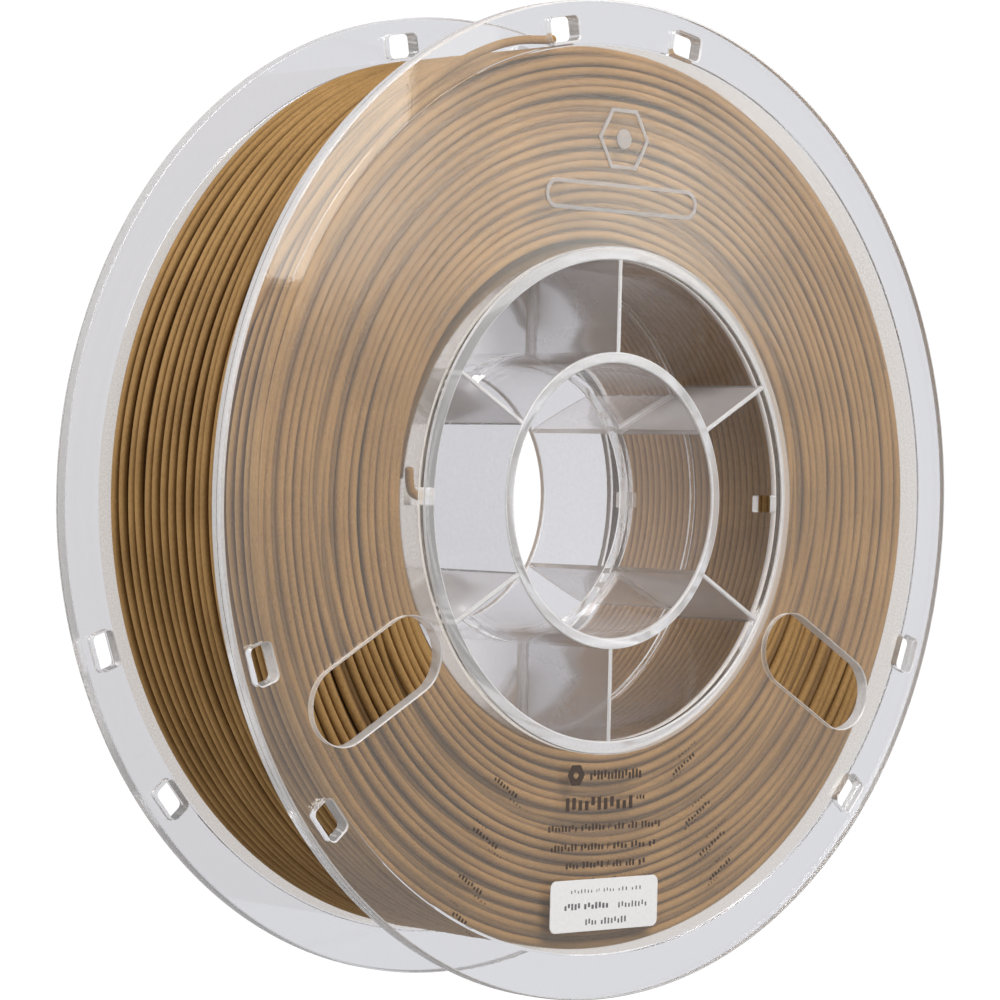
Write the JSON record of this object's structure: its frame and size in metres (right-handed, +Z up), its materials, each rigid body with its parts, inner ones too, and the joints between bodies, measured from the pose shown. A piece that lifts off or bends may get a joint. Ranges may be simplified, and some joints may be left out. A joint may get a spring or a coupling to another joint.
{
  "type": "filament spool",
  "caption": "Clear two-half spool with a hub bore, radial ribs, slotted flanges and a full winding of filament, with its free end held in a rim hole.",
  "frame": {"origin": "centre of the hub bore, on the middle plane between the two flanges", "axes": "+Y along the spool's axis towards the rear flange, +Z up, the front flange with the label faces -Y"},
  "size_m": [0.2, 0.052, 0.2],
  "materials": {
    "clear_plastic": "clear, lightly frosted between drum and rim",
    "filament": "matte wood-filled strand",
    "label_paper": "satin sticker",
    "ink": "printed ink"
  },
  "bodies": {
    "root": {"front_flange": "clear_plastic", "front_drum": "clear_plastic", "front_hub_sleeve": "clear_plastic", "front_rib_1": "clear_plastic", "front_rib_2": "clear_plastic", "front_rib_3": "clear_plastic", "front_rib_4": "clear_plastic", "front_rib_5": "clear_plastic", "front_rib_6": "clear_plastic", "rear_flange": "clear_plastic", "rear_drum": "clear_plastic", "rear_hub_sleeve": "clear_plastic", "rear_rib_1": "clear_plastic", "rear_rib_2": "clear_plastic", "rear_rib_3": "clear_plastic", "rear_rib_4": "clear_plastic", "rear_rib_5": "clear_plastic", "rear_rib_6": "clear_plastic", "filament_winding": "filament", "filament_free_end": "filament", "filament_inner_end": "filament", "label": "label_paper", "printed_marks": "ink"}
  },
  "joints": []
}
